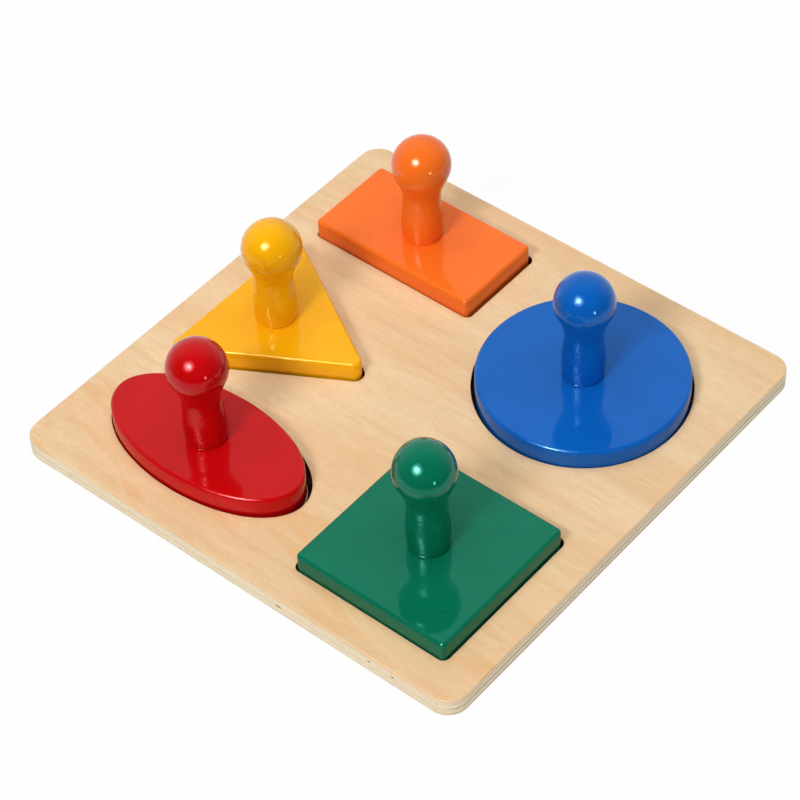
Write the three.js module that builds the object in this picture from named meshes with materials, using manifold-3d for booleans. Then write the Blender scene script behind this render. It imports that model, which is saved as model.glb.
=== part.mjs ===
// Wooden shape puzzle: a square plywood board with five recesses, five painted insets that lift out, and a ball
// knob on each inset. Millimetres, +Z up, origin at the middle of the board's underside. +X runs along the
// front-left edge of the board and +Y along its front-right edge.
import * as THREE from "three";
import { mergeVertices } from "three/addons/utils/BufferGeometryUtils.js";
import Module from "manifold-3d";

const wasm = await Module();
wasm.setup();

// Board: a solid base panel with a cut-out frame panel glued on top of it
const boardSide = 240;
const boardCornerRadius = 10;
const boardEdgeRound = 0.8;
const basePanelThickness = 4;
const framePanelThickness = 5;

// Insets: how far they stand out of the board, how loosely they lie, and their edges
const insetProud = 9;
const insetClearance = 1.4;
const insetEdgeRound = 1.5;
const roundedCornerRadius = 2.2;
const triangleCornerRadius = 3.6;

// Outlines of the insets
const circleDiameter = 94.6;
const ellipseLength = 102.1;
const ellipseWidth = 52.4;
const squareSide = 78.5;
const rectangleLength = 88.3;
const rectangleWidth = 46.8;
const triangleSide = 89.8;

// Margins of bare wood from a recess to the board's edge
const circleMarginX = 17.5;
const circleMarginY = 18.3;
const squareMarginX = 16.3;
const squareMarginY = 16.4;
const rectangleMarginX = 18.4;
const rectangleMarginY = 16.6;
const ellipseMarginX = 18.6;
const ellipseMarginY = 17.1;
const triangleMarginX = 19.1;
const triangleMiddleY = -2.8;

// Knob: a ball on a waisted stem
const ballDiameter = 27.1;
const ballHeight = 41.6;
const neckDiameter = 17.3;
const neckDrop = 17.5;
const flareAngle = 28;
const bellyDiameter = 19.2;
const bellyHeight = 8;
const footDiameter = 18.6;
const footRound = 1;

// Countersunk wood screw, driven up through the inset into the knob
const screwLength = 30;
const screwDiameter = 4;
const screwCoreDiameter = 2.8;
const screwHeadDiameter = 8;
const screwHeadRim = 0.4;
const screwHeadCone = 2.4;
const screwShank = 9;
const screwTip = 4;
const screwPitch = 1.8;
const screwSink = 0.5;
const screwGap = 0.3;
const driveLength = 4.4;
const driveWidth = 0.9;
const driveDepth = 1.5;

// Fineness of the round surfaces
const outlineSteps = 28;
const cornerSteps = 2;
const boardCornerSteps = 4;
const edgeSteps = 2;
const knobSides = 24;
const ballSteps = 10;
const flareSteps = 3;
const stemSteps = 3;
const screwSides = 12;
const weldDistance = 1e-4;

// Colours of the finishes
const woodColour = "#e7c49b";
const blueLacquer = "#0b4fa8";
const greenLacquer = "#00704c";
const orangeLacquer = "#fb6410";
const redLacquer = "#c2070c";
const yellowLacquer = "#fdb10a";
const steelColour = "#b9bcc0";
const woodRoughness = 0.55;
const lacquerRoughness = 0.12;
const steelRoughness = 0.35;

const half = 0.5;
const insetThickness = framePanelThickness + insetProud;
const overshoot = 1;

const wood = new THREE.MeshStandardMaterial({ color: woodColour, roughness: woodRoughness, metalness: 0 });
const steel = new THREE.MeshStandardMaterial({ color: steelColour, roughness: steelRoughness, metalness: 1 });

function lacquer(colour) {
  return new THREE.MeshStandardMaterial({ color: colour, roughness: lacquerRoughness, metalness: 0 });
}

// Closed solids from geometry, and geometry from solids
function solidFrom(geometry) {
  const bare = geometry.clone();
  bare.deleteAttribute("normal");
  bare.deleteAttribute("uv");
  const merged = mergeVertices(bare, weldDistance);
  return new wasm.Manifold(
    new wasm.Mesh({
      numProp: 3,
      vertProperties: merged.attributes.position.array,
      triVerts: new Uint32Array(merged.index.array),
    }),
  );
}

function geometryFrom(solid) {
  const mesh = solid.getMesh();
  const geometry = new THREE.BufferGeometry();
  geometry.setAttribute("position", new THREE.BufferAttribute(mesh.vertProperties, 3));
  geometry.setIndex(new THREE.BufferAttribute(mesh.triVerts, 1));
  geometry.computeVertexNormals();
  return geometry;
}

function cut(geometry, tools) {
  const solid = tools.reduce((left, tool) => left.subtract(solidFrom(tool)), solidFrom(geometry));
  return geometryFrom(solid);
}

function piece(name, geometry, material, x, y, z) {
  const mesh = new THREE.Mesh(geometry, material);
  mesh.name = name;
  mesh.position.set(x, y, z);
  return mesh;
}

// Turned forms: a profile of radius and height, spun about the Z axis
function turned(points, sides) {
  return new THREE.LatheGeometry(points, sides).rotateX(Math.PI * half);
}

// Outlines, each grown outwards by a margin so that an inset and its recess share one shape
function roundedPolygon(corners, radius) {
  const shape = new THREE.Shape();
  corners.forEach((corner, i) => {
    const before = corners[(i + corners.length - 1) % corners.length];
    const after = corners[(i + 1) % corners.length];
    const inward = before.clone().sub(corner).normalize();
    const outward = after.clone().sub(corner).normalize();
    const bisector = inward.clone().add(outward).normalize();
    const halfAngle = Math.acos(inward.dot(outward)) * half;
    const centre = corner.clone().addScaledVector(bisector, radius / Math.sin(halfAngle));
    const start = Math.atan2(-inward.x, inward.y) + Math.PI;
    const sweep = Math.PI - 2 * halfAngle;
    shape.absarc(centre.x, centre.y, radius, start, start + sweep, false);
  });
  return shape;
}

function rectangleOutline(length, width, radius, grow) {
  const x = length * half + grow;
  const y = width * half + grow;
  const corners = [
    new THREE.Vector2(-x, -y),
    new THREE.Vector2(x, -y),
    new THREE.Vector2(x, y),
    new THREE.Vector2(-x, y),
  ];
  return roundedPolygon(corners, radius + grow);
}

function ellipseOutline(length, width, grow) {
  const shape = new THREE.Shape();
  shape.absellipse(0, 0, length * half + grow, width * half + grow, 0, 2 * Math.PI, false, 0);
  return shape;
}

// An equilateral triangle pointing along +X, with its middle at the origin
function triangleInradius(side) {
  return side / (2 * Math.sqrt(3));
}

function triangleOutline(side, radius, grow) {
  const reach = 2 * (triangleInradius(side) + grow);
  const corners = [0, 1, 2].map((i) => {
    const angle = (i * 2 * Math.PI) / 3;
    return new THREE.Vector2(reach * Math.cos(angle), reach * Math.sin(angle));
  });
  return roundedPolygon(corners, radius + grow);
}

// A plate with both its rims rounded, standing on z = 0
function roundedPlate(shape, thickness, round, steps) {
  const geometry = new THREE.ExtrudeGeometry(shape, {
    depth: thickness - 2 * round,
    bevelEnabled: true,
    bevelThickness: round,
    bevelSize: round,
    bevelOffset: -round,
    bevelSegments: edgeSteps,
    curveSegments: steps,
  });
  return geometry.translate(0, 0, round);
}

// The five insets: outline, colour, place of the recess, and how the inset leans in it as a share of its play
const boardHalf = boardSide * half;

const insets = [
  {
    name: "circle",
    colour: blueLacquer,
    steps: outlineSteps,
    outline: (grow) => ellipseOutline(circleDiameter, circleDiameter, grow),
    x: boardHalf - circleMarginX - circleDiameter * half - insetClearance,
    y: boardHalf - circleMarginY - circleDiameter * half - insetClearance,
    lean: [0.55, -0.45],
  },
  {
    name: "square",
    colour: greenLacquer,
    steps: cornerSteps,
    outline: (grow) => rectangleOutline(squareSide, squareSide, roundedCornerRadius, grow),
    x: boardHalf - squareMarginX - squareSide * half - insetClearance,
    y: -boardHalf + squareMarginY + squareSide * half + insetClearance,
    lean: [-0.1, -0.5],
  },
  {
    name: "rectangle",
    colour: orangeLacquer,
    steps: cornerSteps,
    outline: (grow) => rectangleOutline(rectangleLength, rectangleWidth, roundedCornerRadius, grow),
    x: -boardHalf + rectangleMarginX + rectangleLength * half + insetClearance,
    y: boardHalf - rectangleMarginY - rectangleWidth * half - insetClearance,
    lean: [-0.3, -0.4],
  },
  {
    name: "ellipse",
    colour: redLacquer,
    steps: outlineSteps,
    outline: (grow) => ellipseOutline(ellipseLength, ellipseWidth, grow),
    x: -boardHalf + ellipseMarginX + ellipseLength * half + insetClearance,
    y: -boardHalf + ellipseMarginY + ellipseWidth * half + insetClearance,
    lean: [-0.7, -0.2],
  },
  {
    name: "triangle",
    colour: yellowLacquer,
    steps: cornerSteps,
    outline: (grow) => triangleOutline(triangleSide, triangleCornerRadius, grow),
    x: -boardHalf + triangleMarginX + triangleInradius(triangleSide) + insetClearance,
    y: triangleMiddleY,
    lean: [-0.4, 0],
  },
];

// Board panels
const boardOutline = () => rectangleOutline(boardSide, boardSide, boardCornerRadius, 0);

function basePanel() {
  const shape = boardOutline();
  return new THREE.ExtrudeGeometry(shape, {
    depth: basePanelThickness,
    bevelEnabled: false,
    curveSegments: boardCornerSteps,
  });
}

function framePanel() {
  // The frame's plate is made twice as thick and halved, so that only its upper rim is rounded
  const plate = roundedPlate(boardOutline(), 2 * framePanelThickness, boardEdgeRound, boardCornerSteps);
  plate.translate(0, 0, -framePanelThickness);
  const lowerHalf = new THREE.BoxGeometry(
    boardSide + 2 * overshoot,
    boardSide + 2 * overshoot,
    framePanelThickness + overshoot,
  ).translate(0, 0, -(framePanelThickness + overshoot) * half);
  const recesses = insets.map((inset) =>
    new THREE.ExtrudeGeometry(inset.outline(insetClearance), {
      depth: framePanelThickness + 2 * overshoot,
      bevelEnabled: false,
      curveSegments: inset.steps,
    }).translate(inset.x, inset.y, -overshoot),
  );
  return cut(plate, [lowerHalf, ...recesses]);
}

// Screw: drive recess and rim below, cone, plain shank, ringed thread and tip above, from z = 0 upwards
const screwHeadHeight = screwHeadRim + screwHeadCone;
const threadStart = screwHeadHeight + screwShank;
const threadRings = Math.floor((screwLength - screwTip - threadStart) / screwPitch);

function screw() {
  const profile = [
    new THREE.Vector2(0, 0),
    new THREE.Vector2(screwHeadDiameter * half, 0),
    new THREE.Vector2(screwHeadDiameter * half, screwHeadRim),
    new THREE.Vector2(screwDiameter * half, screwHeadHeight),
    new THREE.Vector2(screwDiameter * half, threadStart),
  ];
  for (let i = 0; i < threadRings; i += 1) {
    const z = threadStart + i * screwPitch;
    profile.push(new THREE.Vector2(screwCoreDiameter * half, z + screwPitch * half));
    profile.push(new THREE.Vector2(screwDiameter * half, z + screwPitch));
  }
  profile.push(new THREE.Vector2(screwCoreDiameter * half, screwLength - screwTip));
  profile.push(new THREE.Vector2(0, screwLength));
  const slot = new THREE.BoxGeometry(driveLength, driveWidth, 2 * driveDepth);
  const crossSlot = new THREE.BoxGeometry(driveWidth, driveLength, 2 * driveDepth);
  return cut(turned(profile, screwSides), [slot, crossSlot]);
}

// Hole for the screw through an inset: countersink below, then a clearance bore, from the inset's underside
function screwHole() {
  const headRadius = screwHeadDiameter * half + screwGap;
  const boreRadius = screwDiameter * half + screwGap;
  return turned(
    [
      new THREE.Vector2(0, -overshoot),
      new THREE.Vector2(headRadius, -overshoot),
      new THREE.Vector2(headRadius, screwSink + screwHeadRim),
      new THREE.Vector2(boreRadius, screwSink + screwHeadHeight + screwGap),
      new THREE.Vector2(boreRadius, insetThickness + overshoot),
      new THREE.Vector2(0, insetThickness + overshoot),
    ],
    screwSides,
  );
}

function insetPlate(inset) {
  return cut(roundedPlate(inset.outline(0), insetThickness, insetEdgeRound, inset.steps), [screwHole()]);
}

// Knob: foot, belly, neck, flare and ball, standing on z = 0, with a blind bore for the screw
function knobProfile() {
  const ballRadius = ballDiameter * half;
  const neckRadius = neckDiameter * half;
  const bellyRadius = bellyDiameter * half;
  const footRadius = footDiameter * half;
  const flare = THREE.MathUtils.degToRad(flareAngle);
  const flareRadius = ballRadius * Math.cos(flare);
  const flareZ = ballHeight - ballRadius * Math.sin(flare);
  const flareBend = flareZ - (flareRadius - neckRadius) / Math.tan(flare);
  const neckHeight = ballHeight - neckDrop;
  const stemMiddle = (bellyHeight + neckHeight) * half;

  const stem = new THREE.Path();
  stem.moveTo(footRadius, footRound);
  stem.quadraticCurveTo(bellyRadius, (footRound + bellyHeight) * half, bellyRadius, bellyHeight);
  stem.bezierCurveTo(bellyRadius, stemMiddle, neckRadius, stemMiddle, neckRadius, neckHeight);
  const flareCurve = new THREE.QuadraticBezierCurve(
    new THREE.Vector2(neckRadius, neckHeight),
    new THREE.Vector2(neckRadius, flareBend),
    new THREE.Vector2(flareRadius, flareZ),
  );
  const ball = new THREE.EllipseCurve(0, ballHeight, ballRadius, ballRadius, -flare, Math.PI * half, false, 0);
  return [
    new THREE.Vector2(0, 0),
    new THREE.Vector2(footRadius - footRound, 0),
    ...stem.getPoints(stemSteps),
    ...flareCurve.getPoints(flareSteps).slice(1),
    ...ball.getPoints(ballSteps).slice(1, -1),
    new THREE.Vector2(0, ballHeight + ballRadius),
  ];
}

const boreDepth = screwSink + screwLength - insetThickness + screwGap;

function knob() {
  const boreRadius = screwDiameter * half + screwGap;
  const bore = turned(
    [
      new THREE.Vector2(0, -overshoot),
      new THREE.Vector2(boreRadius, -overshoot),
      new THREE.Vector2(boreRadius, boreDepth),
      new THREE.Vector2(0, boreDepth),
    ],
    screwSides,
  );
  return cut(turned(knobProfile(), knobSides), [bore]);
}

// Assembly
const puzzle = new THREE.Group();
puzzle.add(piece("base_panel", basePanel(), wood, 0, 0, 0));
puzzle.add(piece("frame_panel", framePanel(), wood, 0, 0, basePanelThickness));

insets.forEach((inset) => {
  const paint = lacquer(inset.colour);
  const lift = new THREE.Group();
  lift.position.set(
    inset.x + inset.lean[0] * insetClearance,
    inset.y + inset.lean[1] * insetClearance,
    basePanelThickness,
  );
  lift.add(piece(`${inset.name}_inset`, insetPlate(inset), paint, 0, 0, 0));
  lift.add(piece(`${inset.name}_knob`, knob(), paint, 0, 0, insetThickness));
  lift.add(piece(`${inset.name}_screw`, screw(), steel, 0, 0, screwSink));
  puzzle.add(lift);
});

export default puzzle;
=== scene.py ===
import math

import bmesh
import bpy
from mathutils import Matrix, Vector


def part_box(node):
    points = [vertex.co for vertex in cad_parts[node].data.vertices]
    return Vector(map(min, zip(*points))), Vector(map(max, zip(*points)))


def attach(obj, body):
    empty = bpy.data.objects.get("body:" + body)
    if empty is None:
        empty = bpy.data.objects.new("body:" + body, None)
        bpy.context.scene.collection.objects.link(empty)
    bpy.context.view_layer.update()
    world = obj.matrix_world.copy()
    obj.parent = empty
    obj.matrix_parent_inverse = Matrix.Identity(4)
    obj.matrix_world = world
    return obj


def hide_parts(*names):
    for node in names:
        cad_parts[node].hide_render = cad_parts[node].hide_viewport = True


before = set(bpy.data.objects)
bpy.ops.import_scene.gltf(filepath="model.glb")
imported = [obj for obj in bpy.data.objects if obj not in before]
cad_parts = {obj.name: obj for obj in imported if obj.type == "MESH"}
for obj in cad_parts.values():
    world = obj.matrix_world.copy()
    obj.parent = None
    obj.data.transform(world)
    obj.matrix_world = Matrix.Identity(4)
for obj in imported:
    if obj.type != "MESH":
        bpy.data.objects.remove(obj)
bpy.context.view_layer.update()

scene = bpy.context.scene
MM = 0.001

# Board: rounded rims, the fine groove at the glued joint and the play round the insets
BOARD_CORNER = 10 * MM
BOARD_RIM = 0.8 * MM
BOARD_FOOT_RIM = 0.5 * MM
JOINT_GROOVE = 0.08 * MM
RECESS_PLAY = 1.4 * MM
RECESS_RIM = 0.35 * MM
# Width of the ring of painted shade round each recess floor, next to its wall
PAINTED_SHADE_RING_WIDTH = 2.2 * MM

# Insets: corner radii and rounded rims
PLATE_CORNER = 2.2 * MM
TRIANGLE_CORNER = 3.6 * MM
PLATE_RIM = 1.15 * MM
PLATE_RIM_FLATNESS = 0.55
PLATE_FOOT_RIM = 1.2 * MM
RIM_SUPPORT = 0.3 * MM

# Shapes: the mean gap in the recess, the place there as a share of the play, the ball's offset from the foot
SHAPES = {
    "circle": {
        "paint": "blue_lacquer",
        "gap": 1.4 * MM,
        "lean": (0.55, -0.45),
        "tilt": (-0.5 * MM, 0.8 * MM),
    },
    "square": {
        "paint": "green_lacquer",
        "gap": 1.2 * MM,
        "lean": (0.25, -0.5),
        "tilt": (-1.7 * MM, 0.8 * MM),
    },
    "rectangle": {
        "paint": "orange_lacquer",
        "gap": 1.0 * MM,
        "lean": (-0.3, -0.4),
        "tilt": (0.4 * MM, 0.5 * MM),
    },
    "ellipse": {
        "paint": "red_lacquer",
        "gap": 1.4 * MM,
        "lean": (-0.6, -0.42),
        "tilt": (-0.3 * MM, -0.8 * MM),
    },
    "triangle": {
        "paint": "yellow_lacquer",
        "gap": 1.0 * MM,
        "lean": (-0.1, 0),
        "tilt": (0.7 * MM, -0.1 * MM),
    },
}

# Knob: waisted stem under the ball, and the fillet of pooled paint at its foot
NECK_RADIUS = 8.7 * MM
NECK_DROP = 18.2 * MM
FLARE_ANGLE = math.radians(24.5)
BELLY_RADIUS = 9.6 * MM
BELLY_HEIGHT = 8 * MM
FOOT_RADIUS = 8.6 * MM
FOOT_BULGE = 9.35 * MM
FOOT_HEIGHT = 1.9 * MM
PAINT_FILLET = 0.35 * MM

# Countersunk wood screw and its hole
SCREW_RADIUS = 2 * MM
SCREW_CORE = 1.4 * MM
SCREW_HEAD_RIM = 0.4 * MM
SCREW_HEAD_CONE = 2.4 * MM
SCREW_SHANK = 9 * MM
SCREW_TIP = 4 * MM
SCREW_PITCH = 1.8 * MM
SCREW_GAP = 0.3 * MM
DRIVE_REACH = 2.2 * MM
DRIVE_HALF_WIDTH = 0.45 * MM
DRIVE_DEPTH = 1.5 * MM
DRIVE_TAPER = 0.55

# Fineness of the meshes
CORNER_STEPS = 12
OVAL_STEPS = 160
RIM_STEPS = 8
LATHE_STEPS = 80
STEM_STEPS = 14
BALL_STEPS = 30
SCREW_STEPS = 40
SHARP_ANGLE = math.radians(40)


# Colours, written as 8-bit sRGB and used as linear values
def srgb(red, green, blue):
    def linear(value):
        share = value / 255
        return share / 12.92 if share <= 0.04045 else ((share + 0.055) / 1.055) ** 2.4

    return (linear(red), linear(green), linear(blue), 1)


def shade(colour, factor):
    return (*(min(1, channel * factor) for channel in colour[:3]), 1)


# The last value of each paint is painted shade: the share of its colour kept on an inset's sides and
# underside
PAINTS = {
    "blue_lacquer": {"colour": srgb(9, 93, 184), "gloss_grey": 0.16, "painted_side_shade": 0.84},
    "green_lacquer": {"colour": srgb(6, 107, 78), "gloss_grey": 0, "painted_side_shade": 0.8},
    "orange_lacquer": {"colour": srgb(254, 115, 33), "gloss_grey": 0.26, "painted_side_shade": 0.86},
    "red_lacquer": {"colour": srgb(196, 8, 12), "gloss_grey": 0.16, "painted_side_shade": 1},
    "yellow_lacquer": {"colour": srgb(254, 179, 12), "gloss_grey": 0.16, "painted_side_shade": 0.97},
}


# Outlines: points with their outward normals, counter-clockwise about the middle
def rounded_polygon(corners, radius):
    outline = []
    for i, corner in enumerate(corners):
        before = (corners[i - 1] - corner).normalized()
        after = (corners[(i + 1) % len(corners)] - corner).normalized()
        half_angle = before.angle(after) / 2
        centre = corner + (before + after).normalized() * radius / math.sin(half_angle)
        start = math.atan2(before.x, -before.y)
        sweep = math.pi - 2 * half_angle
        for step in range(CORNER_STEPS + 1):
            angle = start + sweep * step / CORNER_STEPS
            normal = Vector((math.cos(angle), math.sin(angle)))
            outline.append((centre + normal * radius, normal))
    return outline


def rectangle(length, width, radius):
    x, y = length / 2, width / 2
    corners = [Vector(corner) for corner in ((-x, -y), (x, -y), (x, y), (-x, y))]
    return rounded_polygon(corners, radius)


def triangle(length, radius):
    reach = 2 * (length + radius) / 3
    turns = [2 * math.pi * i / 3 for i in range(3)]
    return rounded_polygon([Vector((reach * math.cos(t), reach * math.sin(t))) for t in turns], radius)


def oval(length, width, steps=OVAL_STEPS):
    a, b = length / 2, width / 2
    outline = []
    for i in range(steps):
        turn = 2 * math.pi * i / steps
        point = Vector((a * math.cos(turn), b * math.sin(turn)))
        normal = Vector((b * math.cos(turn), a * math.sin(turn))).normalized()
        outline.append((point, normal))
    return outline


def circle(radius, steps):
    return oval(2 * radius, 2 * radius, steps)


def plate_outline(shape):
    low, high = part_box(f"{shape}_inset")
    size = high - low
    if shape in ("circle", "ellipse"):
        return oval(size.x, size.y)
    if shape == "triangle":
        return triangle(size.x, TRIANGLE_CORNER)
    return rectangle(size.x, size.y, PLATE_CORNER)


def middle_of(node):
    low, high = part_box(node)
    return (low + high) / 2


# Mesh building
def ring(bm, outline, grow, z, middle):
    return [
        bm.verts.new((middle.x + point.x + normal.x * grow, middle.y + point.y + normal.y * grow, z))
        for point, normal in outline
    ]


def skin(bm, rings, material=0):
    for lower, upper in zip(rings, rings[1:]):
        for i in range(len(lower)):
            face = bm.faces.new((lower[i - 1], lower[i], upper[i], upper[i - 1]))
            face.material_index = material


def cap(bm, rings, material=0):
    edges = []
    for verts in rings:
        for i in range(len(verts)):
            ends = (verts[i - 1], verts[i])
            edges.append(bm.edges.get(ends) or bm.edges.new(ends))
    made = bmesh.ops.triangle_fill(bm, edges=edges, use_beauty=True)
    for face in made["geom"]:
        if isinstance(face, bmesh.types.BMFace):
            face.material_index = material


def rim(radius, z, upwards, flatness=0):
    """Steps of a rounded rim as (grow, z), from the wall to the flat face, with one more step on the face.

    With a flatness of 1 it would be a plain chamfer.
    """
    sign = 1 if upwards else -1
    steps = []
    for i in range(RIM_STEPS + 1):
        share = i / RIM_STEPS
        angle = math.pi / 2 * share
        out = (1 - flatness) * math.cos(angle) + flatness * (1 - share) - 1
        up = (1 - flatness) * math.sin(angle) + flatness * share - 1
        steps.append((radius * out, z + sign * radius * up))
    steps.append((-radius - RIM_SUPPORT, z))
    return steps


def lathe(bm, profile, steps, middle):
    """Spins a profile of (radius, z) round the vertical through middle; it starts and ends on that axis."""
    turn = circle(1, steps)
    rings = [ring(bm, turn, radius - 1, z, middle) for radius, z in profile[1:-1]]
    skin(bm, rings)
    for (_, z), verts in ((profile[0], rings[0]), (profile[-1], rings[-1])):
        pole = bm.verts.new((middle.x, middle.y, z))
        for i in range(steps):
            bm.faces.new((verts[i - 1], verts[i], pole))


def piece(name, bm, materials, body, node):
    bmesh.ops.recalc_face_normals(bm, faces=bm.faces)
    mesh = bpy.data.meshes.new(name)
    bm.to_mesh(mesh)
    bm.free()
    mesh.polygons.foreach_set("use_smooth", [True] * len(mesh.polygons))
    mesh.set_sharp_from_angle(angle=SHARP_ANGLE)
    for material in materials:
        mesh.materials.append(material)
    made = bpy.data.objects.new(name, mesh)
    scene.collection.objects.link(made)
    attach(made, body)
    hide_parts(node)
    return made


# Node helpers, with the places of the colour sockets on a Mix node
MIX_FACTOR = 0
MIX_FIRST = 6
MIX_SECOND = 7
MIX_RESULT = 2


def new_material(name):
    material = bpy.data.materials.new(name)
    material.use_nodes = True
    return material, material.node_tree, material.node_tree.nodes["Principled BSDF"]


def add(tree, kind, inputs=None, **settings):
    node = tree.nodes.new(kind)
    for key, value in settings.items():
        setattr(node, key, value)
    for key, value in (inputs or {}).items():
        if isinstance(value, bpy.types.NodeSocket):
            tree.links.new(value, node.inputs[key])
        else:
            node.inputs[key].default_value = value
    return node


def place(tree, stretch=(1, 1, 1), turn=0):
    """Coordinates that move with the piece, turned and then scaled: a larger stretch is finer detail."""
    where = add(tree, "ShaderNodeTexCoord").outputs["Object"]
    if turn:
        where = add(tree, "ShaderNodeMapping", {"Vector": where, "Rotation": (0, 0, turn)}).outputs["Vector"]
    return add(tree, "ShaderNodeMapping", {"Vector": where, "Scale": stretch}).outputs["Vector"]


def noise(tree, vector, scale, detail=2, roughness=0.5, distortion=0):
    inputs = {
        "Vector": vector,
        "Scale": scale,
        "Detail": detail,
        "Roughness": roughness,
        "Distortion": distortion,
    }
    return add(tree, "ShaderNodeTexNoise", inputs).outputs["Fac"]


def texture(tree, stretch, turn=0, **settings):
    """Noise with its own fineness along each axis of the piece, in details per metre."""
    return noise(tree, place(tree, stretch, turn), 1, **settings)


def remap(tree, value, low, high, to_low=0, to_high=1):
    inputs = {"Value": value, "From Min": low, "From Max": high, "To Min": to_low, "To Max": to_high}
    node = add(tree, "ShaderNodeMapRange", inputs, clamp=True, interpolation_type="SMOOTHSTEP")
    return node.outputs["Result"]


def compute(tree, operation, first, second):
    return add(tree, "ShaderNodeMath", {0: first, 1: second}, operation=operation).outputs["Value"]


def mix(tree, factor, first, second):
    node = add(tree, "ShaderNodeMix", data_type="RGBA")
    for index, value in ((MIX_FACTOR, factor), (MIX_FIRST, first), (MIX_SECOND, second)):
        if isinstance(value, bpy.types.NodeSocket):
            tree.links.new(value, node.inputs[index])
        else:
            node.inputs[index].default_value = value
    return node.outputs[MIX_RESULT]


def tinted(tree, base, textures, tints, tint=1):
    """Lays tints over a base colour, one after the other, each where its texture calls for it."""
    for key, low, high, strength, colour, tone in tints:
        factor = remap(tree, textures[key], low, high, 0, strength)
        base = mix(tree, factor, base, shade(colour, tint * tone))
    return base


def ramp(tree, value, stops):
    node = add(tree, "ShaderNodeValToRGB", {"Fac": value})
    elements = node.color_ramp.elements
    while len(elements) < len(stops):
        elements.new(1)
    for element, (position, colour) in zip(elements, stops):
        element.position = position
        element.color = colour
    return node.outputs["Color"]


def bump(tree, height, distance, under=None):
    inputs = {"Height": height, "Distance": distance, "Strength": 1}
    if under is not None:
        inputs["Normal"] = under
    return add(tree, "ShaderNodeBump", inputs).outputs["Normal"]


# Paint: fineness of its textures in details per metre, their relief, and their share in gloss and colour
TONE_SCALE = 55
WAVE_SCALE = 120
PEEL_SCALE = 620
NIB_SCALE = 115
LUMP_SCALE = 260
GRAIN_SCALE = 650
HAIR_STRETCH = (40, 1500, 60)
HAIR_TURN = -0.7
HAIR_BEND = 0.3
HAIR_EDGE = (0.74, 0.79)
NIB_CHANCE = (0.72, 0.78)
NIB_EDGE = (0.035, 0.01)
TONE_EDGE = (0.3, 0.7)
GLOSS_EDGE = (0.25, 0.75)
# Painted shade: where an inset's surface turns from its top to its sides and underside
SIDE_SHADE_EDGE = (0.5, 0.1)
WAVE_DEPTH = 0.05 * MM
PEEL_DEPTH = 0.004 * MM
NIB_DEPTH = 0.06 * MM
HAIR_DEPTH = 0.002 * MM
LUMP_DEPTH = 0.08 * MM
GRAIN_DEPTH = 0.14 * MM
STEM_FADE = 8 * MM
PAINT_ROUGHNESS = (0.02, 0.045)
HAIR_ROUGHNESS = 0.05
STEM_ROUGHNESS = 0.03
PAINT_DEEP = 0.95
PAINT_LIGHT = 1.04
HAIR_PALENESS = 0.08
SCRATCH_PALE = srgb(190, 195, 195)
GLOSS_TINT_POWER = 0.33


def gloss_tint(colour, grey):
    """Reflections on saturated paint keep some of its colour, the less the greyer they are."""
    strongest = max(colour[:3])
    return (*(grey + (1 - grey) * (channel / strongest) ** GLOSS_TINT_POWER for channel in colour[:3]), 1)


def lacquer(slot, name, stem=None):
    """Glossy paint on wood, with waves, orange peel, dust nibs and fine scratches; a stem is grainier, and an
    inset's sides and underside carry painted shade.
    """
    colour = PAINTS[slot]["colour"]
    material, tree, shader = new_material(name)
    shader.inputs["Specular Tint"].default_value = gloss_tint(colour, PAINTS[slot]["gloss_grey"])
    where = place(tree)
    tone = noise(tree, where, TONE_SCALE, 3)
    waves = noise(tree, where, WAVE_SCALE, 1)
    peel = noise(tree, where, PEEL_SCALE, 2)
    specks = add(tree, "ShaderNodeTexVoronoi", {"Vector": where, "Scale": NIB_SCALE}).outputs
    chance = add(tree, "ShaderNodeSeparateColor", {"Color": specks["Color"]}).outputs["Red"]
    present = remap(tree, chance, *NIB_CHANCE)
    nibs = compute(tree, "MULTIPLY", remap(tree, specks["Distance"], *NIB_EDGE), present)
    hairs = remap(tree, texture(tree, HAIR_STRETCH, HAIR_TURN, distortion=HAIR_BEND), *HAIR_EDGE)

    lighter = remap(tree, tone, *TONE_EDGE)
    base = mix(tree, lighter, shade(colour, PAINT_DEEP), shade(colour, PAINT_LIGHT))
    base = mix(tree, compute(tree, "MULTIPLY", hairs, HAIR_PALENESS), base, SCRATCH_PALE)
    gloss = remap(tree, tone, *GLOSS_EDGE, *PAINT_ROUGHNESS)
    gloss = compute(tree, "ADD", gloss, compute(tree, "MULTIPLY", hairs, HAIR_ROUGHNESS))
    relief = bump(tree, waves, WAVE_DEPTH)
    relief = bump(tree, peel, PEEL_DEPTH, relief)
    relief = bump(tree, nibs, NIB_DEPTH, relief)
    relief = bump(tree, hairs, HAIR_DEPTH, relief)
    if stem:
        relief = bump(tree, noise(tree, where, LUMP_SCALE, 1), LUMP_DEPTH, relief)
        height = add(tree, "ShaderNodeSeparateXYZ", {"Vector": where}).outputs["Z"]
        on_stem = remap(tree, height, stem + STEM_FADE, stem)
        grain = compute(tree, "MULTIPLY", noise(tree, where, GRAIN_SCALE, 0), on_stem)
        relief = bump(tree, grain, GRAIN_DEPTH, relief)
        gloss = compute(tree, "ADD", gloss, compute(tree, "MULTIPLY", on_stem, STEM_ROUGHNESS))
    else:
        # Painted shade: an inset's sides and underside are drawn darker than its top
        normal = add(tree, "ShaderNodeTexCoord").outputs["Normal"]
        upright = add(tree, "ShaderNodeSeparateXYZ", {"Vector": normal}).outputs["Z"]
        side = remap(tree, upright, *SIDE_SHADE_EDGE)
        base = mix(tree, side, base, shade(colour, PAINTS[slot]["painted_side_shade"]))
    tree.links.new(base, shader.inputs["Base Color"])
    tree.links.new(gloss, shader.inputs["Roughness"])
    tree.links.new(relief, shader.inputs["Normal"])
    return material


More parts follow.
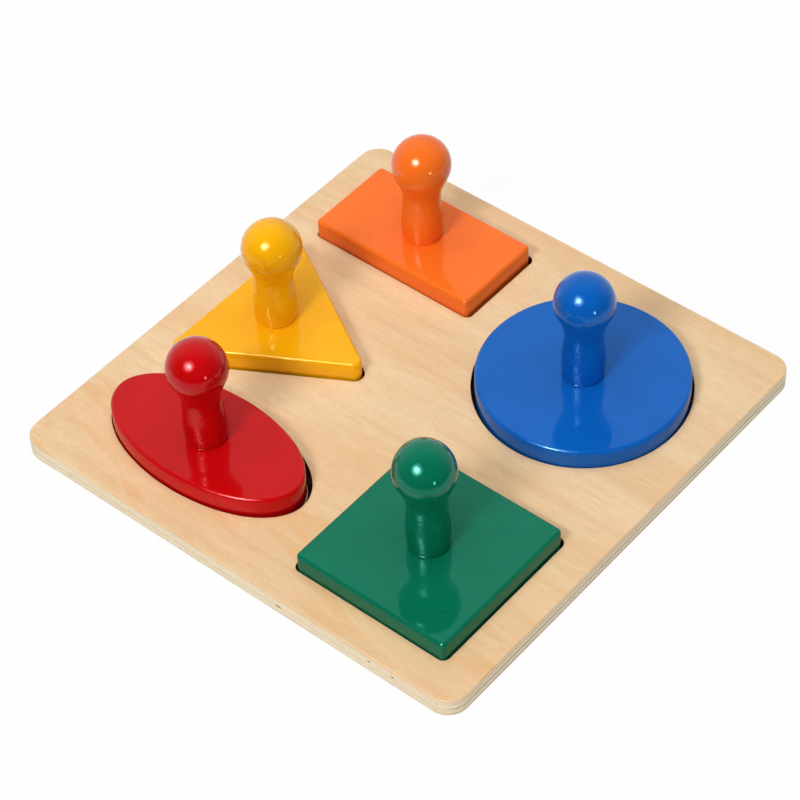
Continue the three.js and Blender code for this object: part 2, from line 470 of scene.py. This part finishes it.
# Face veneer: colours, the warmer strip, the figured part, and the textures that make the grain along X
WOOD_PALE = srgb(235, 206, 164)
WOOD_WARM = srgb(227, 189, 142)
WOOD_ROSE = srgb(233, 192, 150)
WOOD_LINE = srgb(208, 163, 116)
WOOD_FLECK = srgb(198, 152, 108)
WOOD_AMBER = srgb(227, 178, 124)
BAND_EDGE = (0.36, 0.66)
WARM_STRENGTH = 0.8
WARM_TONE = 0.98
WARM_STRIP = (-55 * MM, -100 * MM)
WARM_START = (-115 * MM, -55 * MM)
FIGURE_SPREAD = (-20 * MM, -95 * MM)
FIGURE_LEAST = 0.2
AMBER_EDGE = (0.48, 0.64)
AMBER_STRENGTH = 0.85
VEIN_START = (0.42, 0.46)
VEIN_END = (0.5, 0.46)
VEIN_STRENGTH = 0.2
VEIN_TONE = 1.08
GROWTH_STRETCH = (3, 26, 26)
GROWTH_BEND = 7
GROWTH_EDGE = (0.75, 1.0)
GROWTH_STRENGTH = 0.16
GROWTH_FADE = (0.4, 0.6)
FLECK_EDGE = (0.66, 0.74)
FLECK_STRENGTH = 0.45
FLECK_FADE = (0.35, 0.6)
STREAK_EDGE = (0.3, 0.8)
WOOD_RELIEF = 0.02 * MM
WOOD_ROUGHNESS = (0.42, 0.6)
# Recess floors: veneer drawn darker, as bare wood and partly as painted shade in the recesses
RECESS_SHADE_TINT = 0.84
WOOD_TEXTURES = {
    "bands": {"stretch": (5, 42, 42), "detail": 3, "roughness": 0.55, "distortion": 0.4},
    "blotches": {"stretch": (28, 60, 60)},
    "streaks": {"stretch": (26, 900, 900), "detail": 3, "roughness": 0.6},
    "flecks": {"stretch": (170, 2100, 2100), "detail": 1},
    "fade": {"stretch": (9, 30, 30)},
    "mottle": {"stretch": (160, 420, 420), "turn": 0.12, "detail": 3, "roughness": 0.65},
    "fibres": {"stretch": (300, 1500, 1500), "roughness": 0.6},
    "wisps": {"stretch": (30, 190, 190), "turn": -0.08, "detail": 3, "roughness": 0.6, "distortion": 0.3},
    "rosy": {"stretch": (9, 260, 260), "distortion": 0.2},
    "figure": {"stretch": (24, 75, 75), "turn": 0.12, "detail": 3, "distortion": 1.2},
}

# Tints over the wood, in turn: texture, values where the tint starts and is full, strength, colour, tone
WOOD_TINTS = (
    ("blotches", 0.55, 0.8, 0.55, WOOD_ROSE, 1),
    ("mottle", 0.42, 0.7, 0.4, WOOD_WARM, 0.97),
    ("wisps", 0.52, 0.72, 0.5, WOOD_PALE, 1.03),
    ("wisps", 0.46, 0.28, 0.4, WOOD_ROSE, 0.95),
    ("fibres", 0.5, 0.75, 0.22, WOOD_LINE, 1),
    ("fibres", 0.45, 0.25, 0.25, WOOD_PALE, 1.04),
    ("rosy", 0.6, 0.78, 0.4, WOOD_ROSE, 0.9),
    ("streaks", 0.5, 0.8, 0.32, WOOD_LINE, 1),
)


def growth_lines(tree):
    inputs = {
        "Vector": place(tree, GROWTH_STRETCH),
        "Scale": 1,
        "Distortion": GROWTH_BEND,
        "Detail": 2,
        "Detail Scale": 0.7,
    }
    waves = add(tree, "ShaderNodeTexWave", inputs, wave_type="BANDS", bands_direction="Y")
    return waves.outputs["Fac"]


def veneer(name, tint=1.0):
    """Face veneer: broad tone bands, figure towards the front, soft growth lines, streaks and flecks."""
    material, tree, shader = new_material(name)
    made = {key: texture(tree, **settings) for key, settings in WOOD_TEXTURES.items()}
    figure, fade, streaks = made["figure"], made["fade"], made["streaks"]
    spot = add(tree, "ShaderNodeSeparateXYZ", {"Vector": place(tree)}).outputs

    warm = remap(tree, made["bands"], *BAND_EDGE)
    base = mix(tree, warm, shade(WOOD_PALE, tint), shade(WOOD_WARM, tint))
    strip = remap(tree, spot["Y"], *WARM_STRIP, 0, WARM_STRENGTH)
    strip = compute(tree, "MULTIPLY", strip, remap(tree, spot["X"], *WARM_START))
    base = mix(tree, strip, base, shade(WOOD_WARM, tint * WARM_TONE))
    figured = remap(tree, spot["Y"], *FIGURE_SPREAD, FIGURE_LEAST, 1)
    amber = remap(tree, figure, *AMBER_EDGE, 0, AMBER_STRENGTH)
    base = mix(tree, compute(tree, "MULTIPLY", amber, figured), base, shade(WOOD_AMBER, tint))
    veins = remap(tree, figure, *VEIN_END, 0, VEIN_STRENGTH)
    veins = compute(tree, "MULTIPLY", remap(tree, figure, *VEIN_START), veins)
    base = mix(tree, compute(tree, "MULTIPLY", veins, figured), base, shade(WOOD_PALE, tint * VEIN_TONE))
    base = tinted(tree, base, made, WOOD_TINTS, tint)
    lines = remap(tree, growth_lines(tree), *GROWTH_EDGE, 0, GROWTH_STRENGTH)
    lines = compute(tree, "MULTIPLY", lines, remap(tree, fade, *GROWTH_FADE))
    base = mix(tree, lines, base, shade(WOOD_LINE, tint))
    dashes = remap(tree, made["flecks"], *FLECK_EDGE, 0, FLECK_STRENGTH)
    dashes = compute(tree, "MULTIPLY", dashes, remap(tree, fade, *FLECK_FADE))
    base = mix(tree, dashes, base, shade(WOOD_FLECK, tint))
    tree.links.new(base, shader.inputs["Base Color"])
    tree.links.new(remap(tree, streaks, *STREAK_EDGE, *WOOD_ROUGHNESS), shader.inputs["Roughness"])
    relief = bump(tree, streaks, WOOD_RELIEF)
    relief = bump(tree, dashes, WOOD_RELIEF, relief)
    tree.links.new(relief, shader.inputs["Normal"])
    return material


# Plywood edge: colours, plies and glue lines by share of the board's thickness, and voids between the plies
PLY_CREAM = srgb(246, 227, 193)
PLY_GREY = srgb(236, 217, 187)
PLY_GLUE = srgb(118, 90, 64)
PLY_LOW = srgb(206, 186, 148)
PLY_VOID = srgb(84, 58, 38)
PLY_STOPS = (
    (0.0, PLY_LOW),
    (0.105, PLY_LOW),
    (0.125, PLY_GLUE),
    (0.15, PLY_CREAM),
    (0.40, PLY_CREAM),
    (0.425, PLY_GLUE),
    (0.452, PLY_GLUE),
    (0.48, PLY_GREY),
    (0.735, PLY_CREAM),
    (0.755, PLY_GLUE),
    (0.775, PLY_GREY),
    (1.0, PLY_CREAM),
)
PLY_TEXTURES = {
    "wander": {"stretch": (30, 30, 60)},
    "along": {"stretch": (55, 55, 2600), "detail": 3, "roughness": 0.6},
    "pores": {"stretch": (1500, 1500, 700), "detail": 1},
    "pale": {"stretch": (18, 18, 160)},
    "voids": {"stretch": (260, 260, 900), "detail": 0},
}
PLY_TINTS = (
    ("pale", 0.42, 0.7, 0.4, PLY_CREAM, 1),
    ("along", 0.5, 0.8, 0.35, PLY_LOW, 1),
    ("pores", 0.62, 0.74, 0.3, PLY_GLUE, 1),
    ("voids", 0.86, 0.88, 1, PLY_VOID, 1),
)
WANDER_EDGE = (0.2, 0.8)
PORE_EDGE = (0.74, 0.62)
FRONT_EDGE = (-0.8, -0.95)
PLY_WANDER = 0.12 * MM
PLY_RELIEF = 0.03 * MM
PLY_ROUGHNESS = 0.62
# Painted light: how far the edges facing along Y are mixed toward cream; edges facing along X are not
PAINTED_LIGHT_ON_Y_EDGES = 0.68
VOID_HALF_HEIGHT = 0.45 * MM
VOID_CORE = 0.6
PLY_VOIDS = (
    {"x": 28.7 * MM, "z": 4.5 * MM, "half_length": 2.2 * MM},
    {"x": 77 * MM, "z": 6.1 * MM, "half_length": 1.1 * MM},
    {"x": 89.6 * MM, "z": 5.7 * MM, "half_length": 1.1 * MM},
)


def ply_void(tree, x, z, half_length):
    """1 inside a small gap between the plies, seen where the edge is cut, and 0 outside it."""
    inputs = {
        "Vector": add(tree, "ShaderNodeTexCoord").outputs["Object"],
        "Location": (-x / half_length, 0, -z / VOID_HALF_HEIGHT),
        "Scale": (1 / half_length, 0, 1 / VOID_HALF_HEIGHT),
    }
    near = add(tree, "ShaderNodeMapping", inputs).outputs["Vector"]
    distance = add(tree, "ShaderNodeVectorMath", {0: near}, operation="LENGTH").outputs["Value"]
    return remap(tree, distance, 1, VOID_CORE)


def ply_edge():
    """Sawn and sanded edge of both panels: plies and glue lines by height, pores, and a few small voids."""
    material, tree, shader = new_material("ply_edge")
    height = add(tree, "ShaderNodeSeparateXYZ", {"Vector": place(tree)}).outputs["Z"]
    made = {key: texture(tree, **settings) for key, settings in PLY_TEXTURES.items()}
    wander = remap(tree, made["wander"], *WANDER_EDGE, -PLY_WANDER, PLY_WANDER)
    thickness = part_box("frame_panel")[1].z
    level = compute(tree, "DIVIDE", compute(tree, "ADD", height, wander), thickness)
    base = ramp(tree, level, PLY_STOPS)
    normal = add(tree, "ShaderNodeTexCoord").outputs["Normal"]
    facing = add(tree, "ShaderNodeSeparateXYZ", {"Vector": normal}).outputs
    across = compute(tree, "MULTIPLY", facing["X"], facing["X"])
    # Painted light: edges facing along Y are drawn paler than edges facing along X
    base = mix(tree, remap(tree, across, 0, 1, PAINTED_LIGHT_ON_Y_EDGES, 0), base, PLY_CREAM)
    base = tinted(tree, base, made, PLY_TINTS)
    front = remap(tree, facing["Y"], *FRONT_EDGE)
    for facts in PLY_VOIDS:
        base = mix(tree, compute(tree, "MULTIPLY", ply_void(tree, **facts), front), base, PLY_VOID)
    tree.links.new(base, shader.inputs["Base Color"])
    shader.inputs["Roughness"].default_value = PLY_ROUGHNESS
    relief = bump(tree, made["along"], PLY_RELIEF)
    relief = bump(tree, remap(tree, made["pores"], *PORE_EDGE), PLY_RELIEF, relief)
    tree.links.new(relief, shader.inputs["Normal"])
    return material


# Recess walls of charred wood, darkened further as painted shade, and the rings of painted shade round the
# recess floors
CHAR_AND_SHADE_BLACK = srgb(26, 18, 12)
CHAR_AND_SHADE_BROWN = srgb(78, 51, 32)
CHAR_RELIEF = 0.05 * MM
CHAR_SPECULAR = 0.1
CHAR_ROUGHNESS = (0.7, 0.95)
CHAR_LAYERS = {"stretch": (90, 90, 1300), "detail": 3, "roughness": 0.6}
LAYER_EDGE = (0.45, 0.75)
SOOT_SCALE = 900
SOOT_EDGE = (0.3, 0.7)


def recess_char_and_shade():
    """Recess walls, charred by the cut and darkened further as painted shade, and rings of painted shade
    round their floors: nearly black, with browner layers.
    """
    material, tree, shader = new_material("recess_char_and_shade")
    layers = texture(tree, **CHAR_LAYERS)
    soot = noise(tree, place(tree), SOOT_SCALE)
    base = mix(tree, remap(tree, layers, *LAYER_EDGE), CHAR_AND_SHADE_BLACK, CHAR_AND_SHADE_BROWN)
    tree.links.new(base, shader.inputs["Base Color"])
    shader.inputs["Specular IOR Level"].default_value = CHAR_SPECULAR
    tree.links.new(remap(tree, soot, *SOOT_EDGE, *CHAR_ROUGHNESS), shader.inputs["Roughness"])
    tree.links.new(bump(tree, layers, CHAR_RELIEF), shader.inputs["Normal"])
    return material


# Steel of the screws
ZINC = srgb(200, 203, 208)
ZINC_DULL = srgb(168, 170, 172)
ZINC_RELIEF = 0.01 * MM
ZINC_ROUGHNESS = (0.25, 0.42)
ZINC_MARKS = {"stretch": (500, 500, 6000), "detail": 1}
CLOUD_SCALE = 700
CLOUD_EDGE = (0.35, 0.7)
CLOUD_GLOSS_EDGE = (0.3, 0.7)


def zinc_steel():
    """Zinc-plated steel: cloudy plating and fine turning marks."""
    material, tree, shader = new_material("screw_steel")
    clouds = noise(tree, place(tree), CLOUD_SCALE, 3)
    marks = texture(tree, **ZINC_MARKS)
    base = mix(tree, remap(tree, clouds, *CLOUD_EDGE), ZINC, ZINC_DULL)
    gloss = remap(tree, clouds, *CLOUD_GLOSS_EDGE, *ZINC_ROUGHNESS)
    tree.links.new(base, shader.inputs["Base Color"])
    tree.links.new(gloss, shader.inputs["Roughness"])
    shader.inputs["Metallic"].default_value = 1
    tree.links.new(bump(tree, marks, ZINC_RELIEF), shader.inputs["Normal"])
    return material


# Board, with the places of its materials on each panel
EDGE_PLACE = 1
# Recess walls and floor rims share one material: charred wood and painted shade
CHAR_AND_SHADE_PLACE = 2
BARE_AND_SHADED_PLACE = 3


def recess(shape):
    """Middle of a recess and the outline of the inset that lies in it."""
    lean = Vector(SHAPES[shape]["lean"]) * RECESS_PLAY
    return middle_of(f"{shape}_knob").xy - lean, plate_outline(shape)


def frame_panel(face, edge, wall):
    low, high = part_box("frame_panel")
    middle = (low + high) / 2
    outline = rectangle(high.x - low.x, high.y - low.y, BOARD_CORNER)
    bm = bmesh.new()
    top_steps = rim(BOARD_RIM, high.z, True)
    rounded = [ring(bm, outline, grow, z, middle) for grow, z in top_steps]
    foot = ring(bm, outline, 0, low.z + JOINT_GROOVE, middle)
    under = ring(bm, outline, -JOINT_GROOVE, low.z, middle)
    skin(bm, [under, foot, rounded[0]], EDGE_PLACE)
    skin(bm, rounded)
    tops, unders = [rounded[-1]], [under]
    for shape in SHAPES:
        centre, hole = recess(shape)
        gap = SHAPES[shape]["gap"]
        steps = [(gap - grow, z) for grow, z in rim(RECESS_RIM, high.z, True)]
        lips = [ring(bm, hole, grow, z, centre) for grow, z in steps]
        floor = ring(bm, hole, gap, low.z, centre)
        # Recess wall: charred wood, darkened further as painted shade
        skin(bm, [floor, lips[0]], CHAR_AND_SHADE_PLACE)
        skin(bm, lips)
        tops.append(lips[-1])
        unders.append(floor)
    cap(bm, tops)
    cap(bm, unders)
    return piece("board_frame", bm, [face, edge, wall], "board", "frame_panel")


def base_panel(face, edge, shaded_rim, bare_and_shaded):
    low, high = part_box("base_panel")
    middle = (low + high) / 2
    outline = rectangle(high.x - low.x, high.y - low.y, BOARD_CORNER)
    bm = bmesh.new()
    foot = [ring(bm, outline, grow, z, middle) for grow, z in rim(BOARD_FOOT_RIM, low.z, False)]
    head = ring(bm, outline, 0, high.z - JOINT_GROOVE, middle)
    top = ring(bm, outline, -JOINT_GROOVE, high.z, middle)
    skin(bm, foot)
    skin(bm, [foot[0], head, top], EDGE_PLACE)
    cap(bm, [foot[-1]])
    tops = [top]
    for shape in SHAPES:
        centre, hole = recess(shape)
        gap = SHAPES[shape]["gap"]
        # Each recess floor: a ring of painted shade next to the wall, then veneer drawn darker, partly as
        # painted shade
        outer = ring(bm, hole, gap, high.z, centre)
        inner = ring(bm, hole, gap - PAINTED_SHADE_RING_WIDTH, high.z, centre)
        skin(bm, [outer, inner], CHAR_AND_SHADE_PLACE)
        cap(bm, [inner], BARE_AND_SHADED_PLACE)
        tops.append(outer)
    cap(bm, tops)
    return piece("board_base", bm, [face, edge, shaded_rim, bare_and_shaded], "board", "base_panel")


# Insets, knobs and screws
def plate(shape, paint):
    node = f"{shape}_inset"
    low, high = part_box(node)
    middle = middle_of(f"{shape}_knob")
    outline = plate_outline(shape)
    screw_low, screw_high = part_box(f"{shape}_screw")
    head_radius = (screw_high.x - screw_low.x) / 2 + SCREW_GAP
    bore_radius = SCREW_RADIUS + SCREW_GAP
    head_top = screw_low.z + SCREW_HEAD_RIM
    cone_top = head_top + SCREW_HEAD_CONE + SCREW_GAP
    bm = bmesh.new()
    upper_steps = rim(PLATE_RIM, high.z, True, PLATE_RIM_FLATNESS)
    lower_steps = rim(PLATE_FOOT_RIM, low.z, False)
    upper = [ring(bm, outline, grow, z, middle) for grow, z in upper_steps]
    lower = [ring(bm, outline, grow, z, middle) for grow, z in lower_steps]
    skin(bm, upper)
    skin(bm, lower)
    skin(bm, [lower[0], upper[0]])
    turn = circle(head_radius, SCREW_STEPS)
    narrow = bore_radius - head_radius
    hole_steps = [(0, low.z), (0, head_top), (narrow, cone_top), (narrow, high.z)]
    hole = [ring(bm, turn, grow, z, middle) for grow, z in hole_steps]
    skin(bm, hole)
    cap(bm, [lower[-1], hole[0]])
    cap(bm, [upper[-1], hole[-1]])
    return piece(f"{shape}_plate", bm, [paint], f"{shape}_piece", node)


def curve(points, steps):
    """Points along a Bezier curve of any degree, without its first point."""
    made = []
    for step in range(1, steps + 1):
        share = step / steps
        level = [Vector(point) for point in points]
        while len(level) > 1:
            level = [a.lerp(b, share) for a, b in zip(level, level[1:])]
        made.append(tuple(level[0]))
    return made


def knob(shape, paint):
    node = f"{shape}_knob"
    low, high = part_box(node)
    ball = (high.x - low.x) / 2
    ball_z = high.z - ball
    neck_z = ball_z - NECK_DROP
    belly_z = low.z + BELLY_HEIGHT
    stem_z = (belly_z + neck_z) / 2
    foot_z = low.z + PAINT_FILLET
    flare_radius = ball * math.cos(FLARE_ANGLE)
    flare_z = ball_z - ball * math.sin(FLARE_ANGLE)
    bend_z = flare_z - (flare_radius - NECK_RADIUS) / math.tan(FLARE_ANGLE)
    bore_radius = SCREW_RADIUS + SCREW_GAP
    bore_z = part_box(f"{shape}_screw")[1].z + SCREW_GAP
    profile = [(0, bore_z), (bore_radius, bore_z), (bore_radius, low.z)]
    for step in range(RIM_STEPS + 1):
        angle = -math.pi / 2 * (1 + step / RIM_STEPS)
        radius = FOOT_RADIUS + PAINT_FILLET * (1 + math.cos(angle))
        profile.append((radius, foot_z + PAINT_FILLET * math.sin(angle)))
    bulge_z = low.z + FOOT_HEIGHT
    foot = [(FOOT_RADIUS, foot_z), (FOOT_BULGE, foot_z), (FOOT_BULGE, bulge_z)]
    belly = [(FOOT_BULGE, bulge_z), (BELLY_RADIUS, (bulge_z + belly_z) / 2), (BELLY_RADIUS, belly_z)]
    waist = [(BELLY_RADIUS, belly_z), (BELLY_RADIUS, stem_z), (NECK_RADIUS, stem_z), (NECK_RADIUS, neck_z)]
    flare = [(NECK_RADIUS, neck_z), (NECK_RADIUS, bend_z), (flare_radius, flare_z)]
    for run in (foot, belly, waist, flare):
        profile += curve(run, STEM_STEPS)
    sweep = math.pi / 2 + FLARE_ANGLE
    for step in range(1, BALL_STEPS):
        angle = sweep * step / BALL_STEPS - FLARE_ANGLE
        profile.append((ball * math.cos(angle), ball_z + ball * math.sin(angle)))
    profile.append((0, high.z))
    bm = bmesh.new()
    middle = middle_of(node)
    lathe(bm, profile, LATHE_STEPS, middle)
    tilt = Vector((*SHAPES[shape]["tilt"], 0)) / (ball_z - low.z)
    for vert in bm.verts:
        if (vert.co - middle).xy.length > bore_radius + SCREW_GAP or vert.co.z > ball_z:
            vert.co += tilt * (vert.co.z - low.z)
    return piece(f"{shape}_grip", bm, [paint], f"{shape}_piece", node)


def cross(reach, half_width):
    """Outline of a cross-shaped drive recess; its normals stay unused."""
    quarter = [(reach, -half_width), (reach, half_width), (half_width, half_width)]
    outline = []
    for i in range(4):
        turn = Matrix.Rotation(math.pi / 2 * i, 2)
        outline += [(turn @ Vector(point), Vector((0, 0))) for point in quarter]
    return outline


def screw(shape, steel):
    node = f"{shape}_screw"
    low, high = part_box(node)
    middle = middle_of(node)
    head_radius = (high.x - low.x) / 2
    cone_z = low.z + SCREW_HEAD_RIM + SCREW_HEAD_CONE
    thread_z = cone_z + SCREW_SHANK
    tip_z = high.z - SCREW_TIP
    profile = [(head_radius, low.z), (head_radius, low.z + SCREW_HEAD_RIM), (SCREW_RADIUS, cone_z)]
    profile.append((SCREW_RADIUS, thread_z))
    for i in range(int((tip_z - thread_z) / SCREW_PITCH)):
        z = thread_z + i * SCREW_PITCH
        profile += [(SCREW_CORE, z + SCREW_PITCH / 2), (SCREW_RADIUS, z + SCREW_PITCH)]
    profile.append((SCREW_CORE, tip_z))
    bm = bmesh.new()
    turn = circle(1, SCREW_STEPS)
    rings = [ring(bm, turn, radius - 1, z, middle) for radius, z in profile]
    skin(bm, rings)
    tip = bm.verts.new((middle.x, middle.y, high.z))
    for i in range(SCREW_STEPS):
        bm.faces.new((rings[-1][i - 1], rings[-1][i], tip))
    mouth = ring(bm, cross(DRIVE_REACH, DRIVE_HALF_WIDTH), 0, low.z, middle)
    depth = cross(DRIVE_REACH * DRIVE_TAPER, DRIVE_HALF_WIDTH * DRIVE_TAPER)
    bottom = ring(bm, depth, 0, low.z + DRIVE_DEPTH, middle)
    skin(bm, [mouth, bottom])
    cap(bm, [bottom])
    cap(bm, [rings[0], mouth])
    return piece(f"{shape}_wood_screw", bm, [steel], f"{shape}_piece", node)


# All pieces of the object
face_veneer = veneer("face_veneer")
edge_plies = ply_edge()
char_and_shade = recess_char_and_shade()
frame_panel(face_veneer, edge_plies, char_and_shade)
base_panel(face_veneer, edge_plies, char_and_shade, veneer("recess_veneer", RECESS_SHADE_TINT))
zinc = zinc_steel()
for shape, facts in SHAPES.items():
    plate(shape, lacquer(facts["paint"], f"{shape}_plate_paint"))
    stem_top = middle_of(f"{shape}_knob").z
    knob(shape, lacquer(facts["paint"], f"{shape}_knob_paint", stem_top))
    screw(shape, zinc)

# Camera, fitted to the straight edges of the board
CAMERA_AZIMUTH = math.radians(41.51)
CAMERA_ELEVATION = math.radians(46.60)
CAMERA_ROLL = math.radians(-2.66)
CAMERA_DISTANCE = 1.2547
CAMERA_TARGET = Vector((-0.00895, 0.0036, 0))
CAMERA_LENS = 128.43


def direction(azimuth, elevation):
    """Unit vector towards a place seen at this azimuth, 0 being -Y and 90 degrees +X, and elevation."""
    flat = math.cos(elevation)
    return Vector((math.sin(azimuth) * flat, -math.cos(azimuth) * flat, math.sin(elevation)))


back = direction(CAMERA_AZIMUTH, CAMERA_ELEVATION)
right = Vector((math.cos(CAMERA_AZIMUTH), math.sin(CAMERA_AZIMUTH), 0))
stand = Matrix((right, back.cross(right), back)).transposed() @ Matrix.Rotation(CAMERA_ROLL, 3, "Z")
camera_data = bpy.data.cameras.new("camera")
camera_data.lens = CAMERA_LENS
camera = bpy.data.objects.new("camera", camera_data)
camera.matrix_world = Matrix.Translation(CAMERA_TARGET + back * CAMERA_DISTANCE) @ stand.to_4x4()
scene.collection.objects.link(camera)
scene.camera = camera

# Studio: white surroundings, a key light and its glints, side and top lights, a floor and a dark screen
LIGHT_DISTANCE = 3.5
LIGHT_STEP = 0.1
KEY_AZIMUTH = math.radians(5.6)
KEY_ELEVATION = math.radians(45.5)
KEY_SIZE = 0.9
KEY_POWER = 54
SIDE_AZIMUTH = math.radians(71.4)
SIDE_ELEVATION = math.radians(2)
SIDE_WIDTH = 0.41
SIDE_HEIGHT = 0.58
SIDE_POWER = 12
TOP_ELEVATION = math.radians(90)
TOP_SIZE = 3.5
TOP_POWER = 95
SURROUND_LIGHT = 0.12
UNDER_LIGHT = 0.5
UNDER_FADE = (-0.45, -0.2)
FLOOR_GREY = srgb(228, 228, 228)
FLOOR_GLOW = 0.95
FLOOR_RADIUS = 0.45
FLOOR_FRONT = 0.31
FLOOR_LAP = 3 * MM
FLOOR_DROP = 0.05 * MM
SCREEN_GREY = srgb(40, 40, 40)
SCREEN_GLOW = 0.06
SCREEN_AZIMUTH = CAMERA_AZIMUTH
SCREEN_ELEVATION = 0
SCREEN_RADIUS = 5
SCREEN_SPREAD = math.radians(140)
SCREEN_CORE = math.radians(65)
SCREEN_STEPS = 24
STAGE_STEPS = 96

# Sizes and powers of the glints, from the widest to the narrowest, which together grade the key's reflection
GLINTS = ((2.5, 62), (1.5, 78), (0.8, 66))


def softbox(name, azimuth, elevation, width, height, power, outline="RECTANGLE", nearer=0):
    """Area lamp aimed at the object; lamps in the same direction stand one before the other, in steps."""
    towards = direction(azimuth, elevation)
    data = bpy.data.lights.new(name, "AREA")
    data.shape = outline
    data.size = width
    data.size_y = height
    data.energy = power
    light = bpy.data.objects.new(name, data)
    light.location = towards * (LIGHT_DISTANCE - nearer * LIGHT_STEP)
    light.rotation_euler = towards.to_track_quat("Z", "Y").to_euler()
    light.visible_camera = False
    scene.collection.objects.link(light)
    return light


def seen_directly(tree):
    """1 for rays from the camera and for what gloss and glass show, 0 for the light that surfaces scatter."""
    rays = add(tree, "ShaderNodeLightPath").outputs
    seen = compute(tree, "ADD", rays["Is Camera Ray"], rays["Is Glossy Ray"])
    return compute(tree, "ADD", seen, rays["Is Transmission Ray"])


def stage_piece(name, bm, material):
    mesh = bpy.data.meshes.new(name)
    bm.to_mesh(mesh)
    bm.free()
    mesh.materials.append(material)
    made = bpy.data.objects.new(name, mesh)
    scene.collection.objects.link(made)
    return made


def studio_floor():
    """Pale floor, open under the board so that the underside can be seen."""
    material, tree, shader = new_material("studio_floor")
    shader.inputs["Base Color"].default_value = FLOOR_GREY
    shader.inputs["Roughness"].default_value = 1
    shader.inputs["Specular IOR Level"].default_value = 0
    glow = add(tree, "ShaderNodeEmission", {"Strength": 1})
    factor = compute(tree, "MULTIPLY", seen_directly(tree), FLOOR_GLOW)
    inputs = {0: factor, 1: shader.outputs["BSDF"], 2: glow.outputs["Emission"]}
    lit = add(tree, "ShaderNodeMixShader", inputs)
    tree.links.new(lit.outputs["Shader"], tree.nodes["Material Output"].inputs["Surface"])
    low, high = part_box("base_panel")
    opening = rectangle(high.x - low.x, high.y - low.y, BOARD_CORNER)
    centre = direction(CAMERA_AZIMUTH, 0) * (FLOOR_FRONT - FLOOR_RADIUS)
    level = low.z - FLOOR_DROP
    bm = bmesh.new()
    outer = ring(bm, circle(FLOOR_RADIUS, STAGE_STEPS), 0, level, centre)
    inner = ring(bm, opening, -FLOOR_LAP, level, (low + high) / 2)
    cap(bm, [outer, inner])
    stage_piece("floor", bm, material)


def dark_screen():
    """Dark shell behind the camera, faded out towards its edge, which only gloss shows."""
    material, tree, shader = new_material("dark_screen")
    shader.inputs["Base Color"].default_value = SCREEN_GREY
    shader.inputs["Emission Color"].default_value = (1, 1, 1, 1)
    shader.inputs["Emission Strength"].default_value = SCREEN_GLOW
    shader.inputs["Roughness"].default_value = 1
    shader.inputs["Specular IOR Level"].default_value = 0
    depth = add(tree, "ShaderNodeSeparateXYZ", {"Vector": place(tree)}).outputs["Z"]
    edge, core = (SCREEN_RADIUS * math.cos(angle) for angle in (SCREEN_SPREAD, SCREEN_CORE))
    tree.links.new(remap(tree, depth, edge, core), shader.inputs["Alpha"])
    bm = bmesh.new()
    turn = circle(1, STAGE_STEPS)
    rings = []
    for step in range(1, SCREEN_STEPS + 1):
        spread = SCREEN_SPREAD * step / SCREEN_STEPS
        radius = SCREEN_RADIUS * math.sin(spread)
        rings.append(ring(bm, turn, radius - 1, SCREEN_RADIUS * math.cos(spread), Vector((0, 0))))
    skin(bm, rings)
    bm.faces.new(rings[0])
    screen = stage_piece("screen", bm, material)
    screen.rotation_euler = direction(SCREEN_AZIMUTH, SCREEN_ELEVATION).to_track_quat("Z", "Y").to_euler()
    screen.visible_camera = False
    screen.visible_diffuse = False
    screen.visible_shadow = False


def white_surroundings():
    """White where it is seen; what it lights is dim, apart from what faces steeply down."""
    world = bpy.data.worlds.new("studio")
    world.use_nodes = True
    tree = world.node_tree
    towards = add(tree, "ShaderNodeTexCoord").outputs["Generated"]
    height = add(tree, "ShaderNodeSeparateXYZ", {"Vector": towards}).outputs["Z"]
    scattered = remap(tree, height, *UNDER_FADE, UNDER_LIGHT, SURROUND_LIGHT)
    strength = compute(tree, "MAXIMUM", scattered, seen_directly(tree))
    background = tree.nodes["Background"]
    background.inputs["Color"].default_value = (1, 1, 1, 1)
    tree.links.new(strength, background.inputs["Strength"])
    scene.world = world


key = softbox("key_light", KEY_AZIMUTH, KEY_ELEVATION, KEY_SIZE, KEY_SIZE, KEY_POWER, "ELLIPSE")
key.visible_glossy = False
for nearer, (size, power) in enumerate(GLINTS):
    glint = softbox(f"glint_{nearer}", KEY_AZIMUTH, KEY_ELEVATION, size, size, power, "ELLIPSE", nearer)
    glint.visible_diffuse = False
softbox("side_light", SIDE_AZIMUTH, SIDE_ELEVATION, SIDE_WIDTH, SIDE_HEIGHT, SIDE_POWER)
top = softbox("top_light", 0, TOP_ELEVATION, TOP_SIZE, TOP_SIZE, TOP_POWER)
top.visible_glossy = False
studio_floor()
dark_screen()
white_surroundings()
scene.view_settings.view_transform = "Standard"
